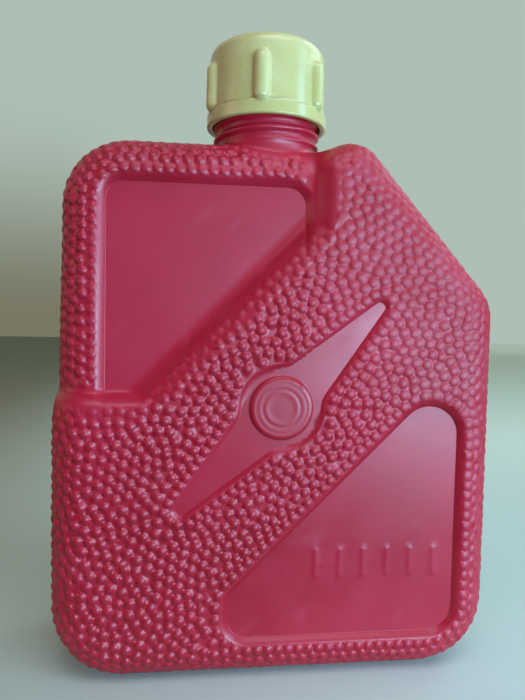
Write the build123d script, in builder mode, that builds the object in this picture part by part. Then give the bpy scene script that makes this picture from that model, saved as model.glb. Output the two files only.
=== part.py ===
"""Small blow-moulded plastic can, about one litre, with a long threaded neck and a ribbed screw cap.

Millimetres, +Z up with the can standing on its base. The front face looks towards -Y and the back
is its mirror image. The origin is the centre of the base. The neck and the cap turn about their own
vertical axis, a little to the left of the middle.
"""
from build123d import *
import os
from math import cos, radians, sin

os.makedirs("parts", exist_ok=True)

# Thick band: the lower half of the can, the right side and the horn beside the neck
half_width = 74.5
half_depth = 25.0
edge_radius = 11.0
base_corner_radius = 24.5
shoulder_z = 127.5  # where the right side turns into the long slope
shoulder_radius = 17.0
horn_top = 180.0
horn_right_x = 28.0
horn_left_x = 10.0
horn_radius = 11.5
ledge_z = 94.7  # top of the band at the left side
step_offset = 139.8  # the sloping step runs along z = x + step_offset
step_corner_radius = 8.0
ledge_end_radius = 4.0

# Thin upper left part
thin_half_width = 73.2
thin_half_depth = 20.0
thin_top = 178.5
thin_bottom = 70.0
thin_right_x = 20.0
thin_corner_radius = 22.0

# Wall of the moulding and its recesses
wall = 1.8
panel_depth = 2.0
upper_panel_left = -58.8
upper_panel_top = 165.2
upper_panel_radius = 7.0
lower_panel_right = 62.0
lower_panel_bottom = 13.2
lower_panel_left = -18.0
lower_panel_offset = 46.6  # the sloping side runs along z = x + lower_panel_offset
lower_panel_radii = (8.0, 10.0, 11.0)

# Needle and disc in the middle of the front and back
disc_z = 91.4
needle_angle = 46.0
needle_half_length = 48.6
needle_half_width = 10.0
needle_tip_half_width = 1.9
needle_depth = 0.8
hollow_radius = 13.7
disc_radius = 10.3
disc_top = half_depth + 0.3
disc_groove_radius = 6.1
disc_groove_width = 1.2
disc_groove_depth = 0.5

# Plain raised bars on the lower panel
bar_count = 6
bar_width = 1.3
bar_length = 9.6
bar_height = 0.35
bar_first_x = 13.0
bar_spacing = 8.2
bar_z = 38.6

# Underside
base_recess_half_length = 46.0
base_recess_half_width = 9.0
base_recess_radius = 8.0
base_recess_depth = 1.2

# Neck and its thread
neck_x = -4.0
neck_top = 211.0
neck_root_radius = 17.4
neck_bore_radius = 15.2
neck_foot_z = 165.0
thread_pitch = 4.23
thread_radius = 18.65
thread_start_z = 180.4
thread_turns = 6.5
thread_base_width = 2.5
thread_tip_width = 1.0
thread_embed = 0.4

# Cap
cap_bottom = 187.0
cap_top = 214.5
cap_radius = 20.3
cap_top_radius = 4.2
cap_bore_radius = 18.95
cap_roof = 1.9
cap_band_radius = 21.1
cap_band_height = 4.8
cap_band_round = 0.5
rib_count = 6
rib_radius = 2.85
rib_centre_radius = 19.45
rib_bottom = 189.3
rib_top = 204.6
rib_first_angle = 258.5
cap_thread_radius = 17.85
cap_thread_turns = 3.2
cap_thread_base_width = 1.6
cap_thread_tip_width = 0.9

# Liner between the cap's roof and the rim of the neck
liner_radius = 18.5
seal_gap = 0.03

neck_axis = Axis((neck_x, 0, 0), (0, 0, 1))


def band_face(inset):
    """Front view of the thick band, made smaller all round by inset."""
    corners = [
        (-half_width, 0),
        (half_width, 0),
        (half_width, shoulder_z),
        (horn_right_x, horn_top),
        (horn_left_x, horn_top),
        (horn_left_x, horn_left_x + step_offset),
        (ledge_z - step_offset, ledge_z),
        (-half_width, ledge_z),
    ]
    radii = [
        base_corner_radius,
        base_corner_radius,
        shoulder_radius,
        horn_radius,
        horn_radius,
        step_corner_radius,
        step_corner_radius,
        ledge_end_radius,
    ]
    with BuildSketch(Plane.XZ) as face:
        with BuildLine():
            FilletPolyline(*corners, radius=radii, close=True)
        make_face()
        if inset > 0:
            offset(amount=-inset, mode=Mode.REPLACE)
    return face.sketch


def thin_face(inset):
    """Front view of the thin upper left part. It runs on into the band, where the two join."""
    left = -thin_half_width + inset
    top = thin_top - inset
    low_corners = [(left, thin_bottom), (thin_right_x, thin_bottom)]
    with BuildSketch(Plane.XZ) as face:
        with BuildLine():
            Polyline((left, top), *low_corners, (thin_right_x, top), close=True)
        make_face()
        fillet(face.vertices().sort_by_distance((left, top, 0))[0], thin_corner_radius - inset)
    return face.sketch


def rounded_block(face, depth, radius):
    """A block as deep as depth each side of the middle, with its front and back edges rounded."""
    with BuildPart() as block:
        extrude(face, amount=depth, both=True)
        fillet(block.faces().filter_by(Axis.Y).edges(), radius)
    return block.part


def lower_panel_face(grow):
    """Three-cornered panel on the thick band, made larger all round by grow."""
    corners = [
        (lower_panel_left, lower_panel_bottom),
        (lower_panel_right, lower_panel_bottom),
        (lower_panel_right, lower_panel_right + lower_panel_offset),
        (lower_panel_left, lower_panel_left + lower_panel_offset),
    ]
    radii = [lower_panel_radii[0], lower_panel_radii[1], lower_panel_radii[2], lower_panel_radii[0]]
    with BuildSketch(Plane.XZ) as face:
        with BuildLine():
            FilletPolyline(*corners, radius=radii, close=True)
        make_face()
        if grow > 0:
            offset(amount=grow, mode=Mode.REPLACE)
    return face.sketch


def upper_panel_face(grow):
    """Panel on the thin part. It runs on under the step, so only its left and top edges show."""
    left = upper_panel_left - grow
    top = upper_panel_top + grow
    low_corners = [(left, thin_bottom), (thin_right_x, thin_bottom)]
    with BuildSketch(Plane.XZ) as face:
        with BuildLine():
            Polyline((left, top), *low_corners, (thin_right_x, top), close=True)
        make_face()
        fillet(face.vertices().sort_by_distance((left, top, 0))[0], upper_panel_radius + grow)
    return face.sketch


def needle_face():
    """Two long points about a round middle."""
    with BuildSketch(Plane.XZ) as face:
        with Locations(Location((0, disc_z), needle_angle)):
            Polygon(
                (0, needle_half_width),
                (-needle_half_length, needle_tip_half_width),
                (-needle_half_length, -needle_tip_half_width),
                (0, -needle_half_width),
                (needle_half_length, -needle_tip_half_width),
                (needle_half_length, needle_tip_half_width),
            )
        tips = face.vertices().sort_by(Axis.X)
        fillet(tips[:2] + tips[-2:], needle_tip_half_width * 0.85)
        with Locations((0, disc_z)):
            Circle(hollow_radius)
    return face.sketch


def bars_face():
    """A plain row of upright bars."""
    with BuildSketch(Plane.XZ) as face:
        for index in range(bar_count):
            with Locations((bar_first_x + index * bar_spacing, bar_z)):
                SlotOverall(bar_length, bar_width, rotation=90)
    return face.sketch


def thread_ridge(root, tip, base_width, tip_width, start_z, turns):
    """One helical ridge about the neck's axis, from the radius root to the radius tip."""
    with BuildPart() as ridge:
        with BuildLine() as path:
            Helix(thread_pitch, turns * thread_pitch, min(root, tip), center=(neck_x, 0, start_z))
        inner_half = (base_width if root < tip else tip_width) / 2
        outer_half = (tip_width if root < tip else base_width) / 2
        reach = abs(tip - root)
        corners = [(0, -inner_half), (reach, -outer_half), (reach, outer_half), (0, inner_half)]
        with BuildSketch(Plane(origin=path.line @ 0, x_dir=(1, 0, 0), z_dir=path.line % 0)):
            with BuildLine():
                Polyline(*corners, close=True)
            make_face()
        sweep(path=path.line, is_frenet=True)
    return ridge.part


def in_front(face, distance, thickness, side):
    """Solid of thickness, whose nearer face is at distance from the middle, front (1) or back (-1)."""
    with BuildPart() as slab:
        extrude(face.moved(Location((0, -side * distance, 0))), amount=side * thickness)
    return slab.part


# Outer block: thin part with its panel, joined to the thick band
with BuildPart() as blocks:
    add(rounded_block(thin_face(0), thin_half_depth, edge_radius))
    for side in (1, -1):
        add(in_front(upper_panel_face(0), thin_half_depth - panel_depth, 10, side), mode=Mode.SUBTRACT)
    add(rounded_block(band_face(0), half_depth, edge_radius))

# Inner block: the space that is left inside the wall
with BuildPart() as hollow:
    add(rounded_block(thin_face(wall), thin_half_depth - wall, edge_radius - wall))
    for side in (1, -1):
        floor = thin_half_depth - panel_depth - wall
        add(in_front(upper_panel_face(wall), floor, 10, side), mode=Mode.SUBTRACT)
    add(rounded_block(band_face(wall), half_depth - wall, edge_radius - wall))
    for side in (1, -1):
        floor = half_depth - panel_depth - wall
        add(in_front(lower_panel_face(wall), floor, 10, side), mode=Mode.SUBTRACT)
    with BuildSketch(Plane.XY):
        Rectangle(2 * (base_recess_half_length + wall), 2 * (base_recess_half_width + wall))
    extrude(amount=base_recess_depth + wall, mode=Mode.SUBTRACT)

# Can: one hollow moulding with its neck
with BuildPart() as can_body:
    add(blocks.part)
    with BuildSketch(Plane.XY.offset(neck_foot_z)):
        with Locations((neck_x, 0)):
            Circle(neck_root_radius)
    extrude(amount=neck_top - neck_foot_z)
    rim = can_body.edges().filter_by(GeomType.CIRCLE).group_by(Axis.Z)[-1]
    fillet(rim, 0.6)
    add(hollow.part, mode=Mode.SUBTRACT)
    with BuildSketch(Plane.XY.offset(neck_foot_z)):
        with Locations((neck_x, 0)):
            Circle(neck_bore_radius)
    extrude(amount=neck_top - neck_foot_z, mode=Mode.SUBTRACT)
    for side in (1, -1):
        add(in_front(lower_panel_face(0), half_depth - panel_depth, 10, side), mode=Mode.SUBTRACT)
        add(in_front(needle_face(), half_depth - needle_depth, 10, side), mode=Mode.SUBTRACT)
    for side in (1, -1):
        with BuildSketch(Plane.XZ) as disc:
            with Locations((0, disc_z)):
                Circle(disc_radius)
        with BuildSketch(Plane.XZ) as groove:
            with Locations((0, disc_z)):
                Circle(disc_groove_radius + disc_groove_width / 2)
                Circle(disc_groove_radius - disc_groove_width / 2, mode=Mode.SUBTRACT)
        disc_foot = half_depth - needle_depth - 0.2
        add(in_front(disc.sketch, disc_foot, disc_top - disc_foot, side))
        add(in_front(groove.sketch, disc_top - disc_groove_depth, 2, side), mode=Mode.SUBTRACT)
        bar_foot = half_depth - panel_depth - 0.2
        add(in_front(bars_face(), bar_foot, bar_height + 0.2, side))
    with BuildSketch(Plane.XY):
        RectangleRounded(2 * base_recess_half_length, 2 * base_recess_half_width, base_recess_radius)
    extrude(amount=base_recess_depth, mode=Mode.SUBTRACT)
    add(
        thread_ridge(
            neck_root_radius - thread_embed,
            thread_radius,
            thread_base_width,
            thread_tip_width,
            thread_start_z,
            thread_turns,
        )
    )

can_body.part.label = "can_body"
export_step(can_body.part, "parts/can_body.step")

# Cap: turned shape with ribs outside and a thread inside
with BuildPart() as screw_cap:
    with BuildSketch(Plane.XZ):
        with BuildLine():
            Polyline(
                (neck_x, cap_bottom),
                (neck_x + cap_band_radius, cap_bottom),
                (neck_x + cap_band_radius, cap_bottom + cap_band_height),
                (neck_x + cap_radius, cap_bottom + cap_band_height),
                (neck_x + cap_radius, cap_top),
                (neck_x, cap_top),
                close=True,
            )
        make_face()
    revolve(axis=neck_axis)
    fillet(screw_cap.edges().filter_by(GeomType.CIRCLE).group_by(Axis.Z)[-1], cap_top_radius)
    band_edge = screw_cap.edges().filter_by(GeomType.CIRCLE).filter_by_position(
        Axis.Z, cap_bottom + cap_band_height - 0.1, cap_bottom + cap_band_height + 0.1
    )
    fillet(band_edge.sort_by(SortBy.RADIUS)[-1], cap_band_round)
    for index in range(rib_count):
        angle = radians(rib_first_angle + index * 360 / rib_count)
        foot_x = neck_x + rib_centre_radius * cos(angle)
        foot_y = rib_centre_radius * sin(angle)
        with Locations((foot_x, foot_y, (rib_bottom + rib_top) / 2)):
            Cylinder(rib_radius, rib_top - rib_bottom)
        with Locations((foot_x, foot_y, rib_top)):
            Sphere(rib_radius)
    with BuildSketch(Plane.XY.offset(cap_bottom)):
        with Locations((neck_x, 0)):
            Circle(cap_bore_radius)
    extrude(amount=cap_top - cap_roof - cap_bottom, mode=Mode.SUBTRACT)
    add(
        thread_ridge(
            cap_bore_radius + thread_embed,
            cap_thread_radius,
            cap_thread_base_width,
            cap_thread_tip_width,
            thread_start_z + 2.5 * thread_pitch,
            cap_thread_turns,
        )
    )

screw_cap.part.label = "screw_cap"
export_step(screw_cap.part, "parts/screw_cap.step")

# Liner: a soft disc held in the cap's roof
with BuildPart() as cap_liner:
    with BuildSketch(Plane.XY.offset(neck_top + seal_gap)):
        with Locations((neck_x, 0)):
            Circle(liner_radius)
    extrude(amount=cap_top - cap_roof - neck_top - 2 * seal_gap)

cap_liner.part.label = "cap_liner"
export_step(cap_liner.part, "parts/cap_liner.step")
print("hollow volume, ml:", round(hollow.part.volume / 1000, 1))
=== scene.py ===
"""Looks for the small plastic can: a studded red moulding, a yellowed screw cap and its liner.

Shapes are worked out in millimetres in the CAD model's own frame and become metres as each mesh is
made. The can is drawn as a flat sheet, one half of it, which is wrapped round the rounded edges to
the parting line. The other half is its mirror image.
"""

import math

import bpy
import numpy as np
from mathutils import Matrix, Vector
from mathutils.geometry import delaunay_2d_cdt


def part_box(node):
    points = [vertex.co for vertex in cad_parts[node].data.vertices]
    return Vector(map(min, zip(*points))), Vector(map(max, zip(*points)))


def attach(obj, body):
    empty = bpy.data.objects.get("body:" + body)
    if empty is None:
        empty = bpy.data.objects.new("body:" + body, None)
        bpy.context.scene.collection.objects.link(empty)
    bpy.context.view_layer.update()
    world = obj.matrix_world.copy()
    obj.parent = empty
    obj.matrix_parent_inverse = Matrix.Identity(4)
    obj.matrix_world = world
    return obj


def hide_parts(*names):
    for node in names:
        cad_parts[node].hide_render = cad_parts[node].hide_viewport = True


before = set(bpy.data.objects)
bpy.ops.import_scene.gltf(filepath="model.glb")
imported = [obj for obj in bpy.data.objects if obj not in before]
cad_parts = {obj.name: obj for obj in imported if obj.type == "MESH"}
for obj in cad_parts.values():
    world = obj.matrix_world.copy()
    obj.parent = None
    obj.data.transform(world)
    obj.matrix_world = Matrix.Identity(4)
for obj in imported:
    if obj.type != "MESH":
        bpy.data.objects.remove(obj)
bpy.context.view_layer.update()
rng = np.random.default_rng(11)

MM = 0.001
can_low, can_high = [np.array(corner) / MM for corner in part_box("can_body")]
cap_low, cap_high = [np.array(corner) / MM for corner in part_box("screw_cap")]
liner_low, liner_high = [np.array(corner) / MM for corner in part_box("cap_liner")]

# Can, as in the CAD model
half_width = (can_high[0] - can_low[0]) / 2
half_depth = 25.0
thin_depth = 20.0
thin_side = -73.2
thin_top = 178.5
horn_top = 180.0
edge_radius = 11.5
wall = 1.8
# Widths on the sheet: of the flat side, and from the flat front's edge to the parting line
side_run = half_depth - edge_radius
rim_reach = edge_radius * math.pi / 2 + side_run

# Neck, cap and thread
neck_x = (cap_low[0] + cap_high[0]) / 2
neck_top = can_high[2]
neck_radius = 17.4
neck_bore = 15.2
neck_foot = neck_radius + 0.7
thread_pitch = 4.23
thread_start = 180.4
thread_end = 208.0
neck_row_gap = 0.42
neck_clear_from = 160.0  # from here up, the sheet has no points too near the neck's axis
neck_blend_from = 165.0  # from here up, relief and studs fade out towards the neck

# Recesses
panel_depth = 2.0
needle_depth = 0.8
needle_length = 48.6
needle_tip = 1.9
needle_waist = 10.0
needle_angle = math.radians(46.0)
disc_centre = np.array([0.0, 91.4])
disc_radius = 10.3
disc_moat = 13.7  # radius of the round recess about the disc
bar_count = 6
bar_first = 13.0
bar_step = 8.2
bar_middle = 38.6
bar_half_length = 4.15

# Studs
stud_radius = 1.9  # at the right, and 0.7 of it at the left
stud_height = 0.8
stud_gap = 3.03
fill_gap = 2.7  # between a stud and those added to a hole
crowded_gap = 2.2  # a stud with a nearer neighbour than this is left out
settling_turns = 50
filling_turns = (20, 35)
stud_push_reach = 4.0


def unit(vectors):
    return vectors / np.linalg.norm(vectors, axis=-1, keepdims=True)


def ease(value):
    """Smooth step from 0 to 1."""
    value = np.clip(value, 0, 1)
    return value * value * (3 - 2 * value)


def batches(count, size=400):
    """Slices that take so many at a time, which keeps tables of distances small."""
    return [slice(start, start + size) for start in range(0, count, size)]


class Outline:
    """Closed anticlockwise curve of straight runs and arcs: corners, with a radius for each."""

    def __init__(self, corners, radii, inset=0.0):
        corners = np.array(corners, float)
        self.ahead = unit(np.roll(corners, -1, 0) - corners)
        behind = np.roll(self.ahead, 1, 0)
        cross = behind[:, 0] * self.ahead[:, 1] - behind[:, 1] * self.ahead[:, 0]
        self.turn = np.arctan2(cross, np.sum(behind * self.ahead, 1))
        inward = np.stack([-behind[:, 1], behind[:, 0]], 1)
        inward_next = np.stack([-self.ahead[:, 1], self.ahead[:, 0]], 1)
        shift = (inward + inward_next) / (1 + np.sum(inward * inward_next, 1))[:, None]
        corners = corners + shift * inset
        self.side = np.sign(self.turn)
        self.radius = np.array(radii, float) - self.side * inset
        reach = (self.radius * np.tan(np.abs(self.turn) / 2))[:, None]
        self.arc_start = corners - behind * reach
        self.arc_stop = corners + self.ahead * reach
        self.centre = self.arc_start + inward * (self.side * self.radius)[:, None]
        self.first = np.arctan2(-inward[:, 1], -inward[:, 0])

    def nearest(self, points):
        """Signed distance outwards, nearest point of the curve and outward normal there."""
        best = np.full(len(points), np.inf)
        foot = np.zeros_like(points)
        normal = np.zeros_like(points)

        def keep(feet, normals):
            away = np.sum((points - feet) ** 2, 1)
            closer = away < best + 1e-9
            best[closer] = away[closer]
            foot[closer] = feet[closer]
            normal[closer] = normals[closer]

        for i in range(len(self.radius)):
            run = self.arc_start[(i + 1) % len(self.radius)] - self.arc_stop[i]
            along = np.clip((points - self.arc_stop[i]) @ run / (run @ run), 0, 1)
            out = np.tile([self.ahead[i][1], -self.ahead[i][0]], (len(points), 1))
            keep(self.arc_stop[i] + along[:, None] * run, out)
        for i in range(len(self.radius)):
            arm = self.side[i] * (points - self.centre[i])
            angle = self.side[i] * (np.arctan2(arm[:, 1], arm[:, 0]) - self.first[i])
            angle = (angle + math.pi) % (2 * math.pi) - math.pi
            angle = self.first[i] + self.side[i] * np.clip(angle, 0, abs(self.turn[i]))
            out = np.stack([np.cos(angle), np.sin(angle)], 1)
            keep(self.centre[i] + self.side[i] * self.radius[i] * out, out)
        sign = np.sign(np.sum((points - foot) * normal, 1))
        return np.sqrt(best) * np.where(sign == 0, 1, sign), foot, normal

    def sample(self, spacing, offset=0.0, measured_at=0.0):
        """Points along the curve moved out by offset, spaced as if moved out by measured_at."""
        points = []
        for i in range(len(self.radius)):
            bend = abs(self.turn[i]) * max(self.radius[i] + self.side[i] * measured_at, 0.1)
            count = max(int(math.ceil(bend / spacing)), 1)
            for step in range(count):
                angle = self.first[i] + self.turn[i] * step / count
                out = np.array([math.cos(angle), math.sin(angle)])
                points.append(self.centre[i] + out * (self.side[i] * self.radius[i] + offset))
            run = self.arc_start[(i + 1) % len(self.radius)] - self.arc_stop[i]
            out = np.array([self.ahead[i][1], -self.ahead[i][0]])
            count = max(int(math.ceil(np.linalg.norm(run) / spacing)), 1)
            for step in range(count):
                points.append(self.arc_stop[i] + run * step / count + out * offset)
        return np.array(points)


# Flat front of the can, inside the rounded edges
spine = Outline(
    [
        (-half_width, 0),
        (half_width, 0),
        (half_width, 127.7),
        (28.2, horn_top),
        (20.5, horn_top),
        (12.0, 176.4),
        (-5.0, thin_top),
        (-71.8, thin_top),
        (thin_side, 97.0),
        (-half_width, 89.0),
    ],
    [24.5, 24.5, 17.0, edge_radius, edge_radius, 25.5, 60.0, 22.0, 30.0, 30.0],
    inset=edge_radius,
)
upper_panel = Outline([(-58.7, 60), (9.0, 60), (9.0, 165.1), (-58.7, 165.1)], [5, 5, 7.5, 7.0])
lower_panel = Outline(
    [(-18.0, 13.2), (62.0, 13.2), (62.0, 108.6), (-18.0, 28.6)], [8.0, 10.0, 11.0, 8.0]
)


def needle_corner(along, across):
    ray = np.array([math.cos(needle_angle), math.sin(needle_angle)])
    return disc_centre + along * ray + across * np.array([-ray[1], ray[0]])


needle = Outline(
    [
        needle_corner(needle_length, -needle_tip),
        needle_corner(needle_length, needle_tip),
        needle_corner(0, needle_waist),
        needle_corner(-needle_length, needle_tip),
        needle_corner(-needle_length, -needle_tip),
        needle_corner(0, -needle_waist),
    ],
    [1.6, 1.6, 1.0, 1.6, 1.6, 1.0],
)


def step_lines(x, z):
    """How far a point is past the foot of each stretch of the step: ledge, slope and horn."""
    return np.stack([97.2 - z, (x + 148.8 - z) / math.sqrt(2), x - 7.5])


step_widths = np.array([6.2, 14.2, 10.5])[:, None]


def double_curve(distance, width, rise):
    """Height of a step that curves up out of the lower face and more slowly into the upper one."""
    turn = 0.36 * width
    lower = np.clip(distance, 0, turn) ** 2 / (turn * width)
    upper = 1 - np.clip(width - distance, 0, width - turn) ** 2 / ((width - turn) * width)
    return rise * np.where(distance < turn, lower, upper)


def soft_max(a, b, blend):
    overlap = np.clip(1 - np.abs(a - b) / blend, 0, 1)
    return np.maximum(a, b) + blend / 4 * overlap**2


def slide_off(distance, top, bottom):
    """0 outside top, 1 inside bottom: rounded at the top edge and sharp at the floor."""
    return np.clip((top - distance) / (top - bottom), 0, 1) ** 1.7


def front_depth(x, z):
    """Half the can's thickness before its relief: thin part and panel, step and thick band."""
    inside = upper_panel.nearest(np.stack([x, z], 1))[0]
    thin = thin_depth - panel_depth * slide_off(inside, 1.7, -1.4)
    ledge, slope, horn = double_curve(step_lines(x, z), step_widths, half_depth - thin)
    rise = soft_max(soft_max(ledge, slope, 1.6), horn, 1.6)
    return np.minimum(thin + rise, half_depth)


def wrap(points):
    """Place in space of points of the sheet, on the front half."""
    reach, foot, normal = spine.nearest(points)
    angle = np.clip(reach / edge_radius, 0, math.pi / 2)
    folded = foot + normal * (edge_radius * np.sin(angle))[:, None]
    flat = np.where((reach > 0)[:, None], folded, points)
    core = front_depth(flat[:, 0], flat[:, 1]) - edge_radius
    past = reach - edge_radius * math.pi / 2
    depth = np.where(past > 0, core * (1 - past / side_run), core + edge_radius * np.cos(angle))
    return np.stack([flat[:, 0], -depth, flat[:, 1]], 1)


def tangents(points, step=0.02):
    """Change of place per millimetre of sheet along its two directions, and the outward normal."""
    right = np.array([step, 0.0])
    up = np.array([0.0, step])
    along = (wrap(points + right) - wrap(points - right)) / (2 * step)
    upward = (wrap(points + up) - wrap(points - up)) / (2 * step)
    return along, upward, unit(np.cross(along, upward))


def bar_distance(points):
    """Distance to the plain row of raised bars on the lower panel."""
    best = np.full(len(points), np.inf)
    beyond = np.clip(np.abs(points[:, 1] - bar_middle) - bar_half_length, 0, None)
    for index in range(bar_count):
        x = bar_first + bar_step * index
        best = np.minimum(best, np.hypot(points[:, 0] - x, beyond))
    return best


def relief(points, places, normals):
    """Height of everything moulded into the smooth shape, apart from the studs."""
    height = -panel_depth * slide_off(lower_panel.nearest(points)[0], 1.3, -1.1)
    inside = np.clip(-lower_panel.nearest(points)[0] - 1.1, 0, None)
    height -= 0.45 * (1 - np.exp(-inside / 14))
    height += 0.11 * ease((1.1 - bar_distance(points)) / 0.8)
    radius = np.hypot(*(points - disc_centre).T)
    gap = -soft_max(-needle.nearest(points)[0], disc_moat - radius, 2.0)
    height -= needle_depth * slide_off(gap, 1.1, -0.5)
    edge = np.clip((disc_radius + 0.3 - radius) / 1.5, 0, 1)
    height += 1.2 * np.sqrt(1 - (1 - edge) ** 2)
    height -= 0.07 * np.exp(-(((radius - 6.2) / 0.6) ** 2))
    height -= 0.03 * np.exp(-(((radius - 8.2) / 0.4) ** 2)) + 0.08 * ease((5.4 - radius) / 1.6)
    nub = np.hypot(points[:, 0] - disc_centre[0] - 6.9, points[:, 1] - disc_centre[1] - 7.3)
    height += 0.25 * ease((0.9 - nub) / 0.7)
    height += 0.05 * np.sin(points[:, 0] / 9.0 + 1.3) * np.sin(points[:, 1] / 11.0)
    height += 0.22 * np.exp(-((places[:, 1] / 0.32) ** 2)) * (places[:, 2] > 0.05)
    under = np.hypot(
        np.clip(np.abs(places[:, 0]) - 38.0, 0, None), np.clip(np.abs(places[:, 1]) - 1.0, 0, None)
    )
    height -= 1.2 * ease((9.5 - under) / 3.0) * (normals[:, 2] < -0.9)
    return height


def stud_room(points, places):
    """How far inside the studded area a point is, and the part of that left by its soft borders."""
    x, depth, z = places[:, 0], -places[:, 1], places[:, 2]
    past = step_lines(x, z) - step_widths
    past[0] -= 0.8
    past[1] += 6.0
    past[2] += 1.6
    thin = np.minimum.reduce([*(-1.4 - step_lines(x, z)), upper_panel.nearest(points)[0] - 2.5])
    soft = np.minimum(np.maximum(np.max(past, 0), thin + 3 * (thin > 0)), z - 1.4)
    radius = np.hypot(*(points - disc_centre).T)
    hard = np.minimum.reduce(
        [
            depth - 2.0,
            np.hypot(x - neck_x, depth) - neck_foot - 1.0 + 100 * (z < neck_blend_from),
            lower_panel.nearest(points)[0] - 2.75,
            needle.nearest(points)[0] - 2.5,
            radius - 16.2,
            np.hypot(x - 12.0, z - 178.0) - 7.0 + 100 * (depth > 9),
        ]
    )
    return np.minimum(hard, soft), soft


def towards_upper_right(places):
    """From 0 at the left to 1 at the right, most of all at the top. Studs are wider there."""
    return ease((places[:, 0] + 0.45 * places[:, 2] - 45) / 60)


def thin_out(points, fixed, gaps):
    """Takes points one by one, and keeps those that are clear of every one kept before."""
    kept = []
    count = len(fixed)
    taken = np.empty((count + len(points), 3))
    if count:
        taken[:count] = wrap(fixed)
    for point, place, gap in zip(points, wrap(points), np.broadcast_to(gaps, len(points))):
        if count and np.min(np.sum((taken[:count] - place) ** 2, 1)) < gap**2:
            continue
        kept.append(point)
        taken[count] = place
        count += 1
    return np.array(kept)


def stud_centres():
    """Rows along the moulded outlines, and an even, irregular scatter between them."""
    beside_panel = upper_panel.sample(3.6, 2.6)
    beside_panel = beside_panel[np.max(step_lines(*beside_panel.T), 0) < -1]
    lines = [
        lower_panel.sample(3.6, 2.8),
        needle.sample(3.6, 2.6),
        beside_panel,
        spine.sample(3.8, rim_reach - 2.2, edge_radius),
    ]
    rows = np.concatenate(lines)
    rows = rows[stud_room(rows, wrap(rows))[0] > -0.15]
    rows = thin_out(rows, [], 3.2)
    low = spine.sample(5, rim_reach).min(0)
    high = spine.sample(5, rim_reach).max(0)
    darts = rng.uniform(low, high, (60000, 2))
    reach = spine.nearest(darts)[0]
    darts = darts[reach < rim_reach]
    darts = darts[stud_room(darts, wrap(darts))[0] > 0]
    loose = thin_out(darts, rows, stud_gap - 0.24 * towards_upper_right(wrap(darts)))
    for turn in range(settling_turns):
        everything = np.concatenate([rows, loose])
        places = wrap(everything)
        if turn in filling_turns:
            open_darts = darts[far_from(wrap(darts), places, fill_gap)]
            if len(open_darts):
                loose = np.concatenate([loose, thin_out(open_darts, everything, fill_gap)])
            everything = np.concatenate([rows, loose])
            places = wrap(everything)
        along, upward = tangents(loose)[:2]
        own = places[len(rows) :]
        push = np.zeros_like(own)
        for part in batches(len(own)):
            arm = own[part, None] - places[None]
            far = np.sqrt(np.sum(arm**2, 2)) + 1e-9
            near = (far < stud_push_reach) & (far > 1e-6)
            weight = np.where(near, 1 - far / stud_push_reach, 0) / far
            push[part] = np.sum(arm * weight[:, :, None], 1)
        push *= 0.9
        gram = np.stack([np.sum(along**2, 1), np.sum(along * upward, 1), np.sum(upward**2, 1)])
        pair = np.stack([np.sum(push * along, 1), np.sum(push * upward, 1)])
        det = gram[0] * gram[2] - gram[1] ** 2 + 1e-9
        move = np.stack(
            [gram[2] * pair[0] - gram[1] * pair[1], gram[0] * pair[1] - gram[1] * pair[0]], 1
        )
        moved = loose + np.clip(move / det[:, None], -0.8, 0.8)
        good = (stud_room(moved, wrap(moved))[0] > 0) & (spine.nearest(moved)[0] < rim_reach)
        loose = np.where(good[:, None], moved, loose)
    return np.concatenate([rows, loose])


def far_from(points, others, gap):
    """Which points have none of the others nearer than gap."""
    keep = np.ones(len(points), bool)
    for part in batches(len(points)):
        far = np.sum((points[part, None] - others[None]) ** 2, 2)
        keep[part] = far.min(1) > gap**2
    return keep


def nearest_gap(places):
    """Distance from each place to its nearest neighbour."""
    gaps = []
    for part in batches(len(places)):
        far = np.sum((places[part, None] - places[None]) ** 2, 2)
        far[far < 1e-12] = np.inf
        gaps.append(np.sqrt(far.min(1)))
    return np.concatenate(gaps)


def stud_field(places, centres, reaches, heights):
    """Height of the nearest studs at each place: domes that meet in a crease where they overlap."""
    field = np.zeros(len(places))
    order = np.argsort(places[:, 0])
    for part in batches(len(places), 1500):
        some = order[part]
        low, high = places[some, 0].min() - 3, places[some, 0].max() + 3
        near = (centres[:, 0] > low) & (centres[:, 0] < high)
        if near.any():
            far = np.sqrt(np.sum((places[some, None] - centres[None, near]) ** 2, 2))
            domes = np.clip(1 - (far / reaches[near]) ** 2, 0, 1) ** 0.8
            field[some] = np.max(heights[near] * domes, 1)
    return field


def stud_rings(centres, radii):
    """Points of the sheet that carry the studs: a middle and four rings each."""
    along, upward = tangents(centres)[:2]
    a, b, c = np.sum(along**2, 1), np.sum(along * upward, 1), np.sum(upward**2, 1)
    root = np.sqrt(np.maximum(a * c - b * b, 1e-6))
    trace = np.sqrt(a + c + 2 * root)
    inverse = np.stack([c + root, -b, a + root]) / (trace * root)
    points = [centres]
    for share, count, twist in ((0.36, 6, 0.0), (0.66, 9, 0.3), (0.88, 12, 0.0), (1.0, 12, 0.5)):
        for step in range(count):
            angle = 2 * math.pi * (step + twist) / count
            reach = np.stack([radii * share * math.cos(angle), radii * share * math.sin(angle)])
            shift = np.stack(
                [
                    inverse[0] * reach[0] + inverse[1] * reach[1],
                    inverse[1] * reach[0] + inverse[2] * reach[1],
                ],
                1,
            )
            points.append(centres + shift)
    return np.concatenate(points)


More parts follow.
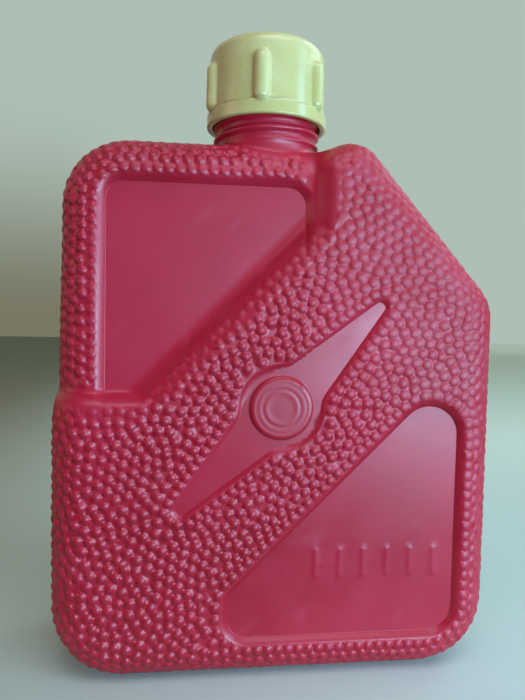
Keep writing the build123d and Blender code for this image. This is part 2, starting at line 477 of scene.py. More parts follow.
def neck_curve(radius, count, depth_inside):
    """Sheet points where the can meets a round of that radius about the neck, right to left."""
    angles = np.linspace(2 * math.pi, math.pi, count + 1)
    goal = np.stack([neck_x + radius * np.cos(angles), radius * np.sin(angles)], 1)
    core = thin_depth - edge_radius
    bend = np.arccos(np.clip((-goal[:, 1] - core) / edge_radius, 0, 1))
    rest = side_run * (1 + goal[:, 1] / core)
    reach = np.where(-goal[:, 1] > core, bend * edge_radius, edge_radius * math.pi / 2 + rest)
    points = np.stack([goal[:, 0], thin_top - edge_radius + reach], 1)

    def level(sheet):
        return (wrap(sheet) - depth_inside * tangents(sheet)[2])[:, :2]

    step = 0.02
    for _ in range(12):
        here = level(points)
        right = (level(points + [step, 0]) - here) / step
        up = (level(points + [0, step]) - here) / step
        miss = goal - here
        det = right[:, 0] * up[:, 1] - right[:, 1] * up[:, 0]
        det = np.where(np.abs(det) < 0.02, 0.02 * np.where(det < 0, -1, 1), det)
        move = np.stack(
            [
                (miss[:, 0] * up[:, 1] - miss[:, 1] * up[:, 0]) / det,
                (right[:, 0] * miss[:, 1] - right[:, 1] * miss[:, 0]) / det,
            ],
            1,
        )
        points = points + np.clip(move, -1, 1)
    return points, goal


def parting_line(spacing, gap_left, gap_right):
    """Rim of the sheet, from the neck's left foot anticlockwise to its right foot."""
    rim = spine.sample(spacing, rim_reach, edge_radius)
    places = wrap(rim)
    away = (places[:, 0] < gap_left - 0.6) | (places[:, 0] > gap_right + 0.6)
    away |= places[:, 2] < neck_clear_from
    start = np.where(~away & np.roll(away, -1))[0][0] + 1
    order = np.roll(np.arange(len(rim)), -start)
    return rim[order][away[order]]


def triangulate(rim, inner):
    """Triangles of the sheet inside its rim. The rim's points come first and keep their order."""
    points = np.concatenate([rim, inner])
    edges = [(i, (i + 1) % len(rim)) for i in range(len(rim))]
    found = delaunay_2d_cdt([tuple(point) for point in points.tolist()], edges, [], 1, 1e-5)
    place_of = {}
    for index, origins in enumerate(found[3]):
        for origin in origins:
            place_of[origin] = index
    sheet = np.array([tuple(point) for point in found[0]])
    rim_index = np.array([place_of[i] for i in range(len(rim))])
    return sheet, np.array(found[2]), rim_index


def both_halves(places, triangles, seam):
    """Adds the mirror image, which shares the seam's points. Also gives the image of each point."""
    places[seam, 1] = 0
    image = np.arange(len(places)) + len(places)
    image[seam] = seam
    loose = np.setdiff1d(np.arange(len(places)), seam)
    new_index = np.zeros(2 * len(places), int)
    new_index[: len(places)] = np.arange(len(places))
    new_index[loose + len(places)] = len(places) + np.arange(len(loose))
    image = new_index[image]
    mirrored = places[loose] * [1, -1, 1]
    triangles = list(triangles) + list(image[triangles[:, ::-1]])
    return np.concatenate([places, mirrored]), triangles, image


def thread_height(angle, z):
    """Height of the neck's thread above its root."""
    turns = (z - thread_start) / thread_pitch - angle / (2 * math.pi)
    gap = np.abs(turns - np.round(turns)) * thread_pitch
    ridge = ease((1.3 - gap) / 0.85)
    run_in = ease((z - thread_start + 0.9) / 1.4) * ease((thread_end - z) / 1.6)
    return 1.25 * ridge * run_in


def can_mesh():
    """Vertices and faces of the can: studded outside, neck and plain inside, as one closed wall."""
    around = 64
    notch, notch_goal = neck_curve(neck_foot, around, 0.0)
    rim_line = parting_line(1.5, notch_goal[-1, 0], notch_goal[0, 0])
    rim = np.concatenate([rim_line, notch])

    centres = stud_centres()
    gaps = nearest_gap(wrap(centres))
    centres = centres[gaps > crowded_gap]
    gaps = gaps[gaps > crowded_gap]
    count = len(centres)
    stud_places = wrap(centres)
    facing = tangents(centres)[2]
    soft = stud_room(centres, stud_places)[1]
    upper_right = towards_upper_right(stud_places)
    upper_right *= np.max(step_lines(stud_places[:, 0], stud_places[:, 2]), 0) > 0
    radii = stud_radius * (0.7 + 0.3 * upper_right) * rng.uniform(0.94, 1.04, count)
    radii = np.minimum(radii, gaps / 2 - 0.02)
    heights = stud_height * (0.82 - 0.06 * upper_right) * rng.uniform(0.9, 1.08, count)
    heights *= np.minimum(radii / 1.35, 1) * (0.3 + 0.7 * ease(soft / 7))
    heights *= 1 - 0.5 * ease((facing[:, 2] - 0.5) / 0.5)
    low_left = ease((100 - stud_places[:, 2]) / 20) * ease((20 - stud_places[:, 0]) / 60)
    on_side = 0.35 + 0.35 * low_left
    heights *= on_side + (1 - on_side) * ease((-facing[:, 1] - 0.05) / 0.6)
    reaches = radii * (1.1 + 0.15 * upper_right)
    studs = stud_rings(centres, radii)

    rows = []
    for outline, offsets in (
        (lower_panel, (-2.0, -1.2, -1.02, -0.6, -0.1, 0.4, 0.85, 1.3)),
        (upper_panel, (-2.2, -1.5, -1.3, -0.8, -0.3, 0.2, 0.7, 1.2, 1.7)),
        (needle, (-1.0, -0.58, -0.42, -0.1, 0.3, 0.7, 1.1)),
    ):
        rows += [outline.sample(1.3, offset) for offset in offsets]
    for radius in (13.2, 13.6, 14.0, 14.4, 14.8):
        rows.append(disc_centre + radius * circle(72))
    needle_rows = np.concatenate(rows)
    radius = np.hypot(*(needle_rows - disc_centre).T)
    on_needle = np.abs(needle.nearest(needle_rows)[0]) < 1.15
    hidden = on_needle & (radius < 12.6)
    on_circle = (np.abs(radius - 14.0) < 0.9) & (needle.nearest(needle_rows)[0] < -1.2)
    needle_rows = needle_rows[~(hidden | on_circle)]
    rings = [disc_centre + r * circle(n) for r, n in disc_rings()]
    bars = [bar_rows(bar_first + bar_step * index) for index in range(bar_count)]
    seam_rows = [spine.sample(1.5, rim_reach - inset, edge_radius) for inset in (0.3, 0.7, 1.3)]
    features = np.concatenate([needle_rows, *rings, *bars, *seam_rows])

    low, high = rim.min(0), rim.max(0)
    coarse = grid(low, high, 1.9)
    fine = grid(low, high, 1.0)
    past = step_lines(fine[:, 0], fine[:, 1])
    on_step = np.max(past, 0) > -1
    on_step &= np.max(past - step_widths, 0) < 1
    ground = np.concatenate([fine[on_step], coarse])
    ground = ground[thin_grid(ground, 0.8)]
    ground = clear_of(ground, stud_places, radii + 0.45)
    features = clear_of(features, stud_places, radii + 0.12)
    ground = ground[far_from(ground, features, 0.8)]
    inner = np.concatenate([studs, features, ground])
    reach = spine.nearest(inner)[0]
    places = wrap(inner)
    about_neck = np.hypot(places[:, 0] - neck_x, places[:, 1])
    inside = (about_neck > neck_foot + 0.25) | (places[:, 2] < neck_clear_from)
    inside &= reach < rim_reach - 0.2
    sheet, triangles, rim_index = triangulate(rim, inner[inside])

    def moulded(points):
        """Finished places of points on the sheet, and the height of the studs there."""
        places = wrap(points)
        normals = tangents(points)[2]
        field = stud_field(places, stud_places, reaches, heights)
        from_neck = np.hypot(places[:, 0] - neck_x, places[:, 1])
        near_neck = ease((from_neck - neck_foot) / 2.5)
        height = relief(points, places, normals) + field
        height = np.where(places[:, 2] > neck_blend_from, height * near_neck, height)
        shoulder = 1.1 * ease((neck_foot + 5 - from_neck) / 5) * (places[:, 1] / from_neck) ** 2
        places = places + normals * height[:, None]
        places[:, 2] += np.where(places[:, 2] > neck_blend_from, shoulder, 0)
        return places, field

    places, lift = moulded(sheet)
    across = moulded(sheet + [0.04, 0])[0] - moulded(sheet - [0.04, 0])[0]
    upward = moulded(sheet + [0, 0.04])[0] - moulded(sheet - [0, 0.04])[0]
    facing = np.nan_to_num(unit(np.cross(across, upward)))
    seam = rim_index[np.r_[0 : len(rim_line), len(rim_line), len(rim) - 1]]
    vertices, faces, image = both_halves(places, triangles, seam)
    # Stud tops, more towards the upper right: wear that makes them rougher, and painted highlight
    # that makes them paler.
    wear_and_sheen = np.zeros(len(vertices))
    wear_and_sheen_share = ease((sheet[:, 0] + sheet[:, 1] + 20) / 190)
    wear_and_sheen[: len(lift)] = np.clip(lift / 0.3, 0, 1) * (0.2 + 0.8 * wear_and_sheen_share)
    wear_and_sheen[image] = wear_and_sheen[: len(lift)]
    about_neck = np.hypot(places[:, 0] - neck_x, places[:, 1])
    trusted = (about_neck > neck_foot + 0.6) | (places[:, 2] < neck_blend_from)
    trusted &= spine.nearest(sheet)[0] < rim_reach - 0.4
    exact = np.zeros((len(vertices), 3))
    exact[image] = facing * trusted[:, None] * [1, -1, 1]
    exact[: len(facing)] = facing * trusted[:, None]
    notch_index = rim_index[len(rim_line) :]
    ring = list(notch_index[::-1]) + list(image[notch_index[1:-1]])

    vertices = list(vertices)
    front_angles = np.linspace(math.pi, 2 * math.pi, around + 1)
    back_angles = np.linspace(0, math.pi, around + 1)[1:-1]
    angles = np.concatenate([front_angles, back_angles])
    foot_z = np.array([vertices[i][2] for i in ring])
    ring = lathe_on(vertices, faces, ring, angles, neck_rows(angles, foot_z))

    inner_notch, inner_goal = neck_curve(neck_bore, around, wall)
    inner_rim_line = parting_line(4.0, inner_goal[-1, 0], inner_goal[0, 0])
    inner_rim = np.concatenate([inner_rim_line, inner_notch])
    ground = grid(low, high, 4.5)
    ground = ground[far_from(ground, inner_rim, 2.5)]
    places = wrap(ground)
    about_neck = np.hypot(places[:, 0] - neck_x, places[:, 1])
    inside = (about_neck > neck_bore + 3) | (places[:, 2] < neck_clear_from)
    inside &= spine.nearest(ground)[0] < rim_reach - 2
    sheet, triangles, rim_index = triangulate(inner_rim, ground[inside])
    places = wrap(sheet)
    normals = tangents(sheet)[2]
    plain = (places[:, 2] > neck_clear_from) | (np.abs(places[:, 1]) < 0.5)
    height = np.where(plain, 0, np.minimum(relief(sheet, places, normals), 0)) - wall
    places = places + normals * height[:, None]
    seam = rim_index[np.r_[0 : len(inner_rim_line), len(inner_rim_line), len(inner_rim) - 1]]
    more, more_faces, image = both_halves(places, triangles[:, ::-1], seam)
    start = len(vertices)
    vertices += list(more)
    faces += [np.array(face) + start for face in more_faces]
    notch_index = rim_index[len(inner_rim_line) :]
    inner_ring = np.array(list(notch_index[::-1]) + list(image[notch_index[1:-1]])) + start
    faces += band(ring, inner_ring)
    wear_and_sheen = np.concatenate([wear_and_sheen, np.zeros(len(vertices) - len(wear_and_sheen))])
    exact = np.concatenate([exact, np.zeros((len(vertices) - len(exact), 3))])
    print("can: studs per half", count, "faces", len(faces))
    return np.array(vertices), faces, wear_and_sheen, exact


def circle(count):
    angles = np.linspace(0, 2 * math.pi, count, endpoint=False)
    return np.stack([np.cos(angles), np.sin(angles)], 1)


def disc_rings():
    """Radii and point counts of the rings that carry the disc's edge and its grooves."""
    edge = (11.2, 10.7, 10.5, 10.25, 9.9, 9.5, 9.0)
    grooves = (8.6, 8.3, 8.0, 7.5, 7.0, 6.6, 6.2, 5.8, 5.3, 4.8, 4.2)
    return [(radius, 72) for radius in edge + grooves] + [(3.0, 30), (1.6, 16)]


def bar_rows(x):
    """Points that carry one bar: three loops round it."""
    low, high = bar_middle - bar_half_length, bar_middle + bar_half_length
    loops = []
    for radius in (0.4, 0.7, 0.95):
        left, right = x - radius, x + radius
        bottom, top = low - radius, high + radius
        corners = [(left, bottom), (right, bottom), (right, top), (left, top)]
        loops.append(Outline(corners, [radius * 0.98] * 4).sample(1.0))
    return np.concatenate(loops)


def grid(low, high, spacing):
    """Points of a triangular grid."""
    rows = np.arange(low[1], high[1], spacing * math.sqrt(0.75))
    points = []
    for index, z in enumerate(rows):
        xs = np.arange(low[0] + (index % 2) * spacing / 2, high[0], spacing)
        points.append(np.stack([xs, np.full(len(xs), z)], 1))
    return np.concatenate(points)


def thin_grid(points, gap):
    """Which points are first in their own small square, so that no two grids crowd each other."""
    cells = np.round(points / gap).astype(int)
    first = np.unique(cells[:, 0] * 100000 + cells[:, 1], return_index=True)[1]
    keep = np.zeros(len(points), bool)
    keep[first] = True
    return keep


def clear_of(points, centre_places, gaps):
    """The points that stand clear of every stud in space."""
    places = wrap(points)
    keep = np.ones(len(points), bool)
    for part in batches(len(points)):
        far = np.sum((places[part, None] - centre_places[None]) ** 2, 2) - gaps[None] ** 2
        keep[part] = far.min(1) > 0
    return points[keep]


def band(lower, upper):
    """Quads between two rings of as many points."""
    count = len(lower)
    return [
        (lower[i], lower[(i + 1) % count], upper[(i + 1) % count], upper[i]) for i in range(count)
    ]


def neck_rows(angles, foot_z):
    """Radius and height of every ring of the neck, from its foot to inside the bore."""
    rows = [(neck_radius + 0.35, foot_z + 0.25), (neck_radius + 0.12, foot_z + 0.6)]
    straight = thread_start - 0.9
    for share in (0.3, 0.65, 1.0):
        rows.append((neck_radius, (foot_z + 0.75) * (1 - share) + straight * share))
    z = straight + neck_row_gap
    while z < thread_end + 0.3:
        rows.append((neck_radius + thread_height(angles, z), z))
        z += neck_row_gap
    lip = [(0, -1.0), (-0.03, -0.5), (-0.18, -0.15), (-0.5, 0)]
    rows += [(neck_radius + shift, neck_top + drop) for shift, drop in lip]
    rows += [(neck_bore - shift * 0.7, neck_top + drop * 0.7) for shift, drop in lip[::-1]]
    return rows + [(neck_bore, neck_top + drop) for drop in (-10.0, -20.0, -30.0)]


def ring_about_neck(vertices, angles, radius, z):
    """Adds a ring of points about the neck's axis, and gives their numbers."""
    start = len(vertices)
    xs = neck_x + radius * np.cos(angles)
    ys = radius * np.sin(angles)
    vertices += [np.array(place) for place in zip(xs, ys, np.broadcast_to(z, len(angles)))]
    return list(range(start, len(vertices)))


def lathe_on(vertices, faces, ring, angles, rows):
    """Adds rings about the neck's axis on top of a ring of existing points. Gives the last."""
    for radius, z in rows:
        new = ring_about_neck(vertices, angles, radius, z)
        faces += band(ring, new)
        ring = new
    return ring


def turned(rows, angles):
    """Closed mesh turned about the neck's axis: the first and last rows are single points."""
    vertices = [np.array([neck_x, 0, rows[0][1]])]
    faces = []
    ring = None
    for radius, z in rows[1:-1]:
        radius = radius(angles) if callable(radius) else radius
        new = ring_about_neck(vertices, angles, radius, z)
        if ring is None:
            faces += [(0, new[i], new[(i + 1) % len(new)]) for i in range(len(new))]
        else:
            faces += [quad[::-1] for quad in band(ring, new)]
        ring = new
    vertices.append(np.array([neck_x, 0, rows[-1][1]]))
    end = len(vertices) - 1
    faces += [(end, ring[(i + 1) % len(ring)], ring[i]) for i in range(len(ring))]
    return np.array(vertices), faces


def make_piece(name, vertices, faces, body, node, material):
    mesh = bpy.data.meshes.new(name)
    places = [tuple(vertex) for vertex in (vertices * MM).tolist()]
    mesh.from_pydata(places, [], [tuple(int(index) for index in face) for face in faces])
    mesh.validate()
    mesh.polygons.foreach_set("use_smooth", [True] * len(mesh.polygons))
    mesh.materials.append(material)
    piece = bpy.data.objects.new(name, mesh)
    bpy.context.scene.collection.objects.link(piece)
    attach(piece, body)
    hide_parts(node)
    return piece


# Cap
cap_axis_turn = math.radians(258.5)  # direction of the rib nearest the front
cap_bore = 18.95
cap_barrel = 20.3
cap_band_radius = 21.1
cap_roof = 1.9
rib_count = 6
rib_half_width = 2.85
rib_height = 2.35
rib_low = 193.2
rib_high = 204.6


def cap_ribs(angles, z):
    """Height of the cap's ribs above its barrel."""
    apart = 2 * math.pi / rib_count
    gap = cap_barrel * np.abs((angles - cap_axis_turn + apart / 2) % apart - apart / 2)
    beyond = max(z - rib_high, 0) + max(rib_low - z, 0)
    share = np.hypot(gap, beyond) / rib_half_width
    return rib_height * np.clip(1 - share**2, 0, 1) ** 0.7


def cap_thread(angles, z):
    """Height of the thread inside the cap, half a pitch away from the neck's."""
    turns = (z - thread_start) / thread_pitch - angles / (2 * math.pi) - 0.5
    gap = np.abs(turns - np.round(turns)) * thread_pitch
    run_in = ease((z - 190.0) / 1.5) * ease((204.5 - z) / 1.5)
    return 1.05 * ease((0.85 - gap) / 0.5) * run_in


def cap_rows():
    """Rows of the cap from the middle of its top, down the outside and up the inside."""
    top, bottom = cap_high[2], cap_low[2]
    band_top = bottom + 4.8

    def ribbed(z, radius, least=0.0):
        """Row of the barrel with its ribs, and nowhere inside the radius called least."""
        return lambda angles: np.maximum(least, radius + cap_ribs(angles, z)), z

    def threaded(z):
        return lambda angles: cap_bore - cap_thread(angles, z), z

    rows = [(0, top - 0.15)]
    for radius in (0.6, 1.2, 1.5, 1.8, 3, 5, 8, 11, 13.5):
        rows.append((radius, top - 0.15 + 0.135 * ease((1.7 - radius) / 0.5)))
    for step in range(10):
        bend = math.pi / 2 * step / 9
        rows.append((15.9 + 4.2 * math.sin(bend), top - 4.2 + 4.05 * math.cos(bend)))
    z = top - 4.7
    while z > band_top + 0.8:
        rows.append(ribbed(z, cap_barrel - 0.2 + 0.2 * (top - 4.2 - z) / 18))
        z -= 0.6
    for share in (0.0, 0.3, 0.6, 0.85, 1.0):
        crease = 0.12 * (1 - math.sqrt(1 - share**2))
        rows.append(ribbed(band_top + 0.6 * (1 - share), cap_barrel - crease))
    for share in (0.0, 0.25, 0.5, 0.75, 1.0):
        bend = math.pi / 2 * share
        z = band_top - 0.1 - 0.55 * (1 - math.cos(bend))
        rows.append(ribbed(z, cap_barrel, cap_band_radius - 0.55 * (1 - math.sin(bend))))
    for drop in (1.0, 1.4, 1.8, 2.2, 2.7, 3.3, 3.9, 4.3):
        rows.append(ribbed(band_top - drop, cap_barrel, cap_band_radius))
    rows += [(cap_band_radius - 0.1, bottom + 0.2), (cap_band_radius - 0.45, bottom)]
    rows += [(19.5, bottom), (19.15, bottom + 0.1), (cap_bore + 0.03, bottom + 0.4)]
    z = bottom + 1.0
    while z < top - 2.2:
        rows.append(threaded(z))
        z += 0.45
    rows.append((cap_bore, top - cap_roof - 0.05))
    return rows + [(radius, top - cap_roof) for radius in (18.6, 12, 4, 0)]


def liner_rows():
    """Rows of the sealing disc, with the ring that the neck's rim has pressed into it."""
    top, bottom = liner_high[2], liner_low[2]
    edge = (liner_high[0] - liner_low[0]) / 2
    rows = [(0, top), (4, top), (12, top), (edge - 0.3, top), (edge - 0.05, top - 0.15)]
    rows += [(edge, top - 0.4), (edge, bottom + 0.4), (edge - 0.05, bottom + 0.15)]
    rows += [(edge - 0.3, bottom), (17.8, bottom), (17.4, bottom + 0.16), (16.8, bottom + 0.22)]
    rows += [(15.8, bottom + 0.22), (15.2, bottom + 0.16), (14.8, bottom)]
    return rows + [(10, bottom), (4, bottom), (0, bottom)]


# Materials
class Tree:
    """Short names for the nodes that are used most, in the node tree of a material or the world."""

    def __init__(self, tree, coordinates):
        self.nodes = tree.nodes
        self.links = tree.links
        self.place = self.nodes.new("ShaderNodeTexCoord").outputs[coordinates]

    def axes(self):
        """The place's parts along X, Y and Z."""
        node = self.nodes.new("ShaderNodeSeparateXYZ")
        self.links.new(self.place, node.inputs[0])
        return list(node.outputs)

    def noise(self, scale, detail=3.0, roughness=0.5, stretch=None):
        node = self.nodes.new("ShaderNodeTexNoise")
        node.inputs["Scale"].default_value = scale
        node.inputs["Detail"].default_value = detail
        node.inputs["Roughness"].default_value = roughness
        place = self.place
        if stretch:
            mapping = self.nodes.new("ShaderNodeMapping")
            mapping.vector_type = "TEXTURE"
            mapping.inputs["Rotation"].default_value = stretch[0]
            mapping.inputs["Scale"].default_value = stretch[1]
            self.links.new(self.place, mapping.inputs["Vector"])
            place = mapping.outputs["Vector"]
        self.links.new(place, node.inputs["Vector"])
        return node.outputs["Fac"]

    def spread(self, value, low, high, start=0.0, stop=1.0):
        """Value mapped from low..high to start..stop, smoothly and clamped."""
        node = self.nodes.new("ShaderNodeMapRange")
        node.interpolation_type = "SMOOTHSTEP"
        names = ("From Min", "From Max", "To Min", "To Max")
        for name, number in zip(names, (low, high, start, stop)):
            node.inputs[name].default_value = number
        self.links.new(value, node.inputs["Value"])
        return node.outputs["Result"]

    def maths(self, operation, first, second):
        node = self.nodes.new("ShaderNodeMath")
        node.operation = operation
        for index, value in enumerate((first, second)):
            if isinstance(value, (int, float)):
                node.inputs[index].default_value = value
            else:
                self.links.new(value, node.inputs[index])
        return node.outputs["Value"]

    def mix(self, share, first, second):
        node = self.nodes.new("ShaderNodeMix")
        node.data_type = "RGBA"
        self.links.new(share, node.inputs["Factor"])
        for socket, colour in ((node.inputs[6], first), (node.inputs[7], second)):
            if isinstance(colour, tuple):
                socket.default_value = (*colour, 1)
            else:
                self.links.new(colour, socket)
        return node.outputs[2]

    def attribute(self, name):
        node = self.nodes.new("ShaderNodeAttribute")
        node.attribute_name = name
        return node.outputs["Fac"]


class Shading(Tree):
    """A new material with its node tree."""

    def __init__(self, name):
        self.material = bpy.data.materials.new(name)
        self.material.use_nodes = True
        super().__init__(self.material.node_tree, "Object")
        self.shader = self.nodes["Principled BSDF"]

    def bump(self, height, distance, strength=1.0):
        node = self.nodes.new("ShaderNodeBump")
        node.inputs["Distance"].default_value = distance
        node.inputs["Strength"].default_value = strength
        self.links.new(height, node.inputs["Height"])
        self.links.new(node.outputs["Normal"], self.shader.inputs["Normal"])

    def set(self, **values):
        for name, value in values.items():
            socket = self.shader.inputs[name.replace("_", " ")]
            if isinstance(value, (int, float)):
                socket.default_value = value
            elif isinstance(value, tuple):
                socket.default_value = (*value, 1) if socket.type == "RGBA" else value
            else:
                self.links.new(value, socket)


def red_plastic():
    """Moulded polyethylene, paler where scratched and scuffed, duller where rubbed, and a little
    paler on the stud tops: partly wear, partly painted highlight.
    """
    look = Shading("red_plastic")
    cloud = look.spread(look.noise(28, 4), 0.3, 0.7)
    colour = look.mix(cloud, (0.34, 0.005, 0.018), (0.40, 0.008, 0.027))
    scuffs = look.spread(look.noise(85, 5, 0.62, ((0, -0.8, 0), (2.2, 1, 1))), 0.57, 0.72)
    patches = look.spread(look.noise(110, 4, 0.6), 0.4, 0.7)
    # Stud tops: wear, and painted highlight in the paler colour.
    wear_and_sheen = look.maths("MULTIPLY", look.attribute("wear_and_sheen"), patches)
    fine = look.spread(look.noise(2600, 1, 0.5, ((0.2, -0.6, 0), (9, 1, 1))), 0.72, 0.80)
    crossing = look.spread(look.noise(2300, 1, 0.5, ((-0.3, 1.1, 0), (12, 1, 1))), 0.73, 0.80)
    scratches = look.maths("MAXIMUM", fine, crossing)
    # Paler colour: real scratches and scuffs, and on the stud tops wear and painted highlight.
    pale = look.maths("MULTIPLY", look.maths("MAXIMUM", scratches, wear_and_sheen), 0.08)
    pale = look.maths("ADD", pale, look.maths("MULTIPLY", scuffs, 0.05))
    colour = look.mix(pale, colour, (0.60, 0.20, 0.27))
    rough = look.spread(look.noise(60, 4, 0.6), 0.3, 0.7, 0.34, 0.40)
    scraped = look.maths("MULTIPLY", look.maths("MAXIMUM", scratches, scuffs), 0.08)
    wear_and_sheen_share = look.maths("MULTIPLY", look.attribute("wear_and_sheen"), 0.12)
    rough = look.maths("ADD", look.maths("ADD", rough, scraped), wear_and_sheen_share)
    grain = look.maths("MULTIPLY", look.noise(1500, 3), 0.07)
    look.bump(look.maths("ADD", grain, look.noise(160, 3)), 0.00012, 0.3)
    look.set(Base_Color=colour, Roughness=rough, IOR=1.5)
    look.set(Subsurface_Weight=0.1, Subsurface_Scale=0.0012, Subsurface_Radius=(1.0, 0.12, 0.1))
    return look.material


def cream_plastic():
    """Old white polypropylene that has yellowed unevenly, with painted shade in the crease above
    its band.
    """
    look = Shading("cream_plastic")
    cloud = look.spread(look.noise(45, 5, 0.6), 0.32, 0.7)
    colour = look.mix(cloud, (0.48, 0.45, 0.15), (0.57, 0.55, 0.24))
    specks = look.spread(look.noise(900, 2, 0.6), 0.68, 0.78)
    x, y, z = look.axes()
    # Painted shade: a darker line in the crease above the band, in patches, on the barrel between
    # the ribs.
    above = look.maths("SUBTRACT", z, (cap_low[2] + 4.95) * MM)
    in_crease = look.spread(look.maths("ABSOLUTE", above, 0), 0.0006, 0.0001)
    x = look.maths("SUBTRACT", x, neck_x * MM)
    square = look.maths("ADD", look.maths("POWER", x, 2), look.maths("POWER", y, 2))
    on_barrel = look.spread(square, (20.8 * MM) ** 2, (20.4 * MM) ** 2)
    patches = look.spread(look.noise(90, 3), 0.35, 0.6)
    crease_shade = look.maths("MULTIPLY", look.maths("MULTIPLY", in_crease, patches), on_barrel)
    colour = look.mix(look.maths("MULTIPLY", specks, 0.12), colour, (0.30, 0.22, 0.10))
    # Painted shade in the crease.
    colour = look.mix(look.maths("MULTIPLY", crease_shade, 0.42), colour, (0.12, 0.10, 0.05))
    rough = look.spread(look.noise(120, 4, 0.6), 0.3, 0.7, 0.20, 0.30)
    look.bump(look.noise(700, 4, 0.6), 0.00008, 0.25)
    look.set(Base_Color=colour, Roughness=rough, IOR=1.5)
    look.set(Subsurface_Weight=0.2, Subsurface_Scale=0.002, Subsurface_Radius=(1.0, 0.8, 0.4))
    return look.material


def white_foam():
    """Closed-cell foam sheet."""
    look = Shading("white_foam")
    cells = look.noise(2500, 2, 0.6)
    colour = look.mix(look.spread(cells, 0.3, 0.7), (0.70, 0.68, 0.61), (0.84, 0.83, 0.78))
    look.bump(cells, 0.00015, 0.6)
    rough = look.spread(look.noise(300, 3), 0.3, 0.7, 0.7, 0.9)
    look.set(Base_Color=colour, Roughness=rough)
    return look.material


def pale_floor():
    """Dark mat in front of the can, then a pale cloth with painted shade towards the left, and
    painted light: it glows a little further back, more to the right.
    """
    look = Shading("pale_floor")
    x, y, _ = look.axes()
    mat_edge = look.spread(y, -0.095, -0.035)
    # Painted shade: the cloth darker towards the left.
    cloth_with_painted_shade = look.mix(look.spread(x, -0.3, 0.05), (0.34, 0.32, 0.21), (0.54, 0.68, 0.57))
    look.set(Base_Color=look.mix(mat_edge, (0.04, 0.04, 0.04), cloth_with_painted_shade), Roughness=0.9)
    # Painted light: the floor glows, more further back and to the right.
    glow = look.maths("MULTIPLY", look.spread(y, 0.0, 0.4), 0.4)
    glow = look.maths("MULTIPLY", glow, look.spread(x, -0.35, 0.3))
    far_glow = look.spread(y, 0.5, 2.6, 0.0, 0.62)
    far_glow = look.maths("MULTIPLY", far_glow, look.spread(x, -0.3, 0.2))
    glow = look.maths("MAXIMUM", glow, far_glow)
    look.set(Emission_Color=(0.42, 0.52, 0.44), Emission_Strength=glow)
    return look.material


# Pieces
vertices, faces, wear_and_sheen, exact = can_mesh()
can_piece = make_piece(
    "can_shell", vertices, faces, "can", "can_body", red_plastic()
)
can_piece.data.normals_split_custom_set_from_vertices(exact.tolist())
# Stud tops: wear, and painted highlight that makes them paler.
wear_and_sheen_layer = can_piece.data.attributes.new("wear_and_sheen", "FLOAT", "POINT")
wear_and_sheen_layer.data.foreach_set("value", np.clip(wear_and_sheen, 0, 1))

cap_angles = np.linspace(0, 2 * math.pi, 360, endpoint=False)
vertices, faces = turned(cap_rows(), cap_angles)
make_piece("ribbed_cap", vertices, faces, "cap", "screw_cap", cream_plastic())
vertices, faces = turned(liner_rows(), cap_angles[::3])
make_piece("sealing_disc", vertices, faces, "liner", "cap_liner", white_foam())

# Camera: where the photograph was taken, a little to the left of the can's middle and above it
camera_place = np.array([-29.57, -217.0, 120.72])
yaw, pitch, roll = (math.radians(angle) for angle in (6.79, -3.07, -1.15))
camera_data = bpy.data.cameras.new("camera")
camera_data.lens = 30.857
camera_data.sensor_width = 36
camera_data.clip_start = 0.01
camera = bpy.data.objects.new("camera", camera_data)
level_forward = np.array([math.sin(yaw), math.cos(yaw), 0.0])
forward = level_forward * math.cos(pitch) + [0, 0, math.sin(pitch)]
level_right = np.array([math.cos(yaw), -math.sin(yaw), 0.0])
level_down = -np.cross(level_right, forward)
right = level_right * math.cos(roll) + level_down * math.sin(roll)
down = -level_right * math.sin(roll) + level_down * math.cos(roll)
camera.matrix_world = Matrix(
    [[right[i], -down[i], -forward[i], camera_place[i] * MM] for i in range(3)] + [[0, 0, 0, 1]]
)
bpy.context.scene.collection.objects.link(camera)
bpy.context.scene.camera = camera
bpy.context.scene.view_settings.view_transform = "Standard"

# Floor and light
floor_mesh = bpy.data.meshes.new("floor")
floor_mesh.from_pydata([(-3, -3, 0), (3, -3, 0), (3, 3, 0), (-3, 3, 0)], [], [(0, 1, 2, 3)])
floor = bpy.data.objects.new("floor", floor_mesh)
bpy.context.scene.collection.objects.link(floor)
floor_mesh.materials.append(pale_floor())

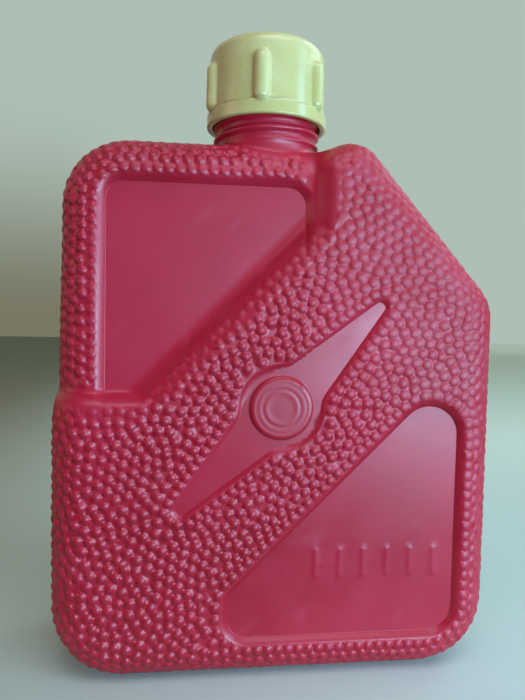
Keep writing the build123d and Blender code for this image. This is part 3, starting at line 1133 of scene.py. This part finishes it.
# Surroundings: a pale room behind the can, shadowed low on the left, and a dim one in front
world = bpy.data.worlds.new("studio")
bpy.context.scene.world = world
world.use_nodes = True
room = Tree(world.node_tree, "Generated")
x, y, z = room.axes()
colour = room.mix(room.spread(y, -0.1, 0.7), (0.05, 0.055, 0.05), (0.42, 0.52, 0.46))
shadow = room.maths("MULTIPLY", room.spread(x, -0.05, -0.21), room.spread(z, 0.33, -0.01))
colour = room.mix(shadow, colour, (0.19, 0.19, 0.13))
room.links.new(colour, room.nodes["Background"].inputs["Color"])


def soft_light(name, azimuth, elevation, distance, width, height, power, colour):
    """Lamp at a direction from the can, measured to the right of the viewer, aimed at it."""
    data = bpy.data.lights.new(name, "AREA")
    data.shape = "RECTANGLE"
    data.size = width
    data.size_y = height
    data.energy = power
    data.color = colour
    lamp = bpy.data.objects.new(name, data)
    a, e = math.radians(azimuth), math.radians(elevation)
    ray = np.array([math.sin(a) * math.cos(e), -math.cos(a) * math.cos(e), math.sin(e)])
    middle = np.array([0, 0, 0.1])
    place = middle + ray * distance
    x = unit(np.cross([0, 0, 1], ray))
    y = np.cross(ray, x)
    lamp.matrix_world = Matrix([[x[i], y[i], ray[i], place[i]] for i in range(3)] + [[0, 0, 0, 1]])
    bpy.context.scene.collection.objects.link(lamp)
    lamp.visible_camera = False


soft_light("window", 28, -4, 0.6, 0.26, 0.22, 5.5, (0.44, 0.70, 1.0))
soft_light("window middle", 46, 4, 0.6, 0.2, 0.26, 1.4, (0.5, 0.7, 1.0))
soft_light("window edge", 63, 15, 1.0, 0.26, 0.5, 4.0, (0.25, 0.60, 1.0))
soft_light("sky", 105, 42, 1.0, 0.6, 0.5, 2.8, (0.75, 0.85, 1.0))
soft_light("ceiling", 8, 60, 0.6, 0.45, 0.34, 1.9, (0.84, 0.82, 1.0))
soft_light("left wall", -78, 12, 1.0, 0.5, 0.5, 1.7, (1.0, 0.5, 0.48))
soft_light("room", 2, 8, 1.0, 0.5, 0.36, 0.85, (0.4, 0.62, 1.0))
